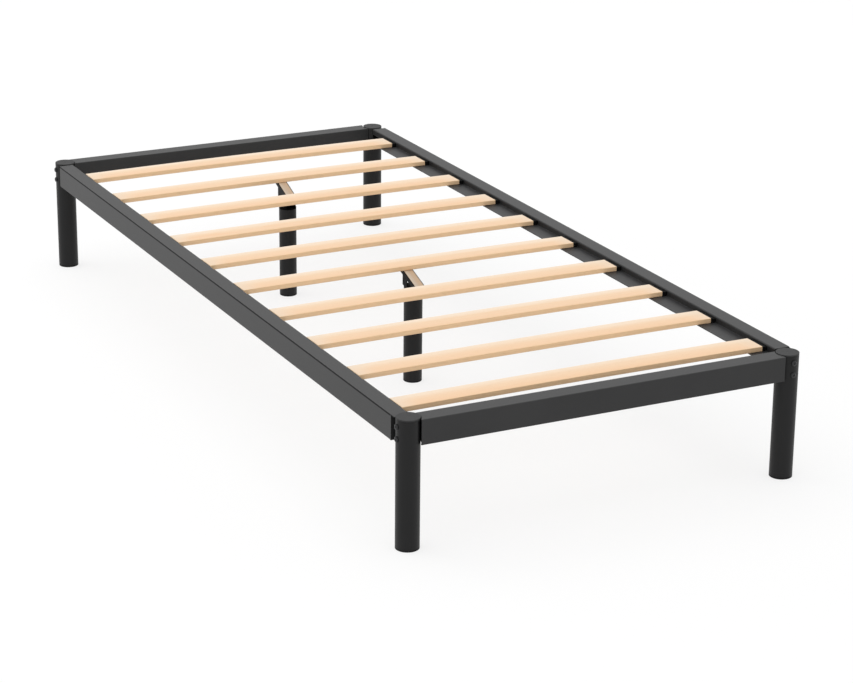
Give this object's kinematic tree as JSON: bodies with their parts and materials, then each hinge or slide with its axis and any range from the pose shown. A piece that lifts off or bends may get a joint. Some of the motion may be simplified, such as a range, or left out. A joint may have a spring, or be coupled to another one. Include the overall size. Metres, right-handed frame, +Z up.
{
  "type": "metal bed frame",
  "caption": "Low single platform bed frame of dark grey steel on round legs, with bare wooden cross slats and round centre supports.",
  "frame": {"origin": "on the floor, under the middle of the frame", "axes": "+Z up, +X across the bed from left to right, +Y along the bed from the foot end to the head end"},
  "size_m": [0.9035, 2.007, 0.2695],
  "materials": {
    "powder_coat": "dark grey fine-texture powder coat on steel, satin",
    "slat_wood": "bare planed softwood, matt",
    "strip_wood": "bare softwood in shade, matt",
    "cap_plastic": "dark grey moulded cap, fine matt grain",
    "foot_plastic": "black moulded glide, matt",
    "buffer_rubber": "black rubber pad, matt",
    "black_bolt": "black oxide button head, semi-gloss",
    "plated_steel": "zinc-plated steel"
  },
  "bodies": {
    "root": {"corner_bolts": "black_bolt", "front_centre_bracket": "powder_coat", "front_centre_channel": "powder_coat", "front_centre_foot": "foot_plastic", "front_centre_head_plate": "powder_coat", "front_centre_leg": "powder_coat", "front_packing_strip": "strip_wood", "front_rail": "powder_coat", "front_rail_nut_plate": "powder_coat", "left_front_foot": "foot_plastic", "left_front_leg": "powder_coat", "left_front_leg_cap": "cap_plastic", "left_rail_front_plate": "powder_coat", "left_rail_rear_plate": "powder_coat", "left_rail_tube": "powder_coat", "left_rear_foot": "foot_plastic", "left_rear_leg": "powder_coat", "left_rear_leg_cap": "cap_plastic", "left_slat_buffers": "buffer_rubber", "left_slat_ledge": "powder_coat", "rear_centre_bracket": "powder_coat", "rear_centre_channel": "powder_coat", "rear_centre_foot": "foot_plastic", "rear_centre_head_plate": "powder_coat", "rear_centre_leg": "powder_coat", "rear_packing_strip": "strip_wood", "rear_rail": "powder_coat", "rear_rail_nut_plate": "powder_coat", "right_front_foot": "foot_plastic", "right_front_leg": "powder_coat", "right_front_leg_cap": "cap_plastic", "right_rail_front_plate": "powder_coat", "right_rail_rear_plate": "powder_coat", "right_rail_tube": "powder_coat", "right_rear_foot": "foot_plastic", "right_rear_leg": "powder_coat", "right_rear_leg_cap": "cap_plastic", "right_slat_buffers": "buffer_rubber", "right_slat_ledge": "powder_coat", "slat_01": "slat_wood", "slat_02": "slat_wood", "slat_03": "slat_wood", "slat_04": "slat_wood", "slat_05": "slat_wood", "slat_06": "slat_wood", "slat_07": "slat_wood", "slat_08": "slat_wood", "slat_09": "slat_wood", "slat_10": "slat_wood", "slat_screws": "plated_steel", "strip_screws": "plated_steel", "weld_nuts": "plated_steel"}
  },
  "joints": []
}
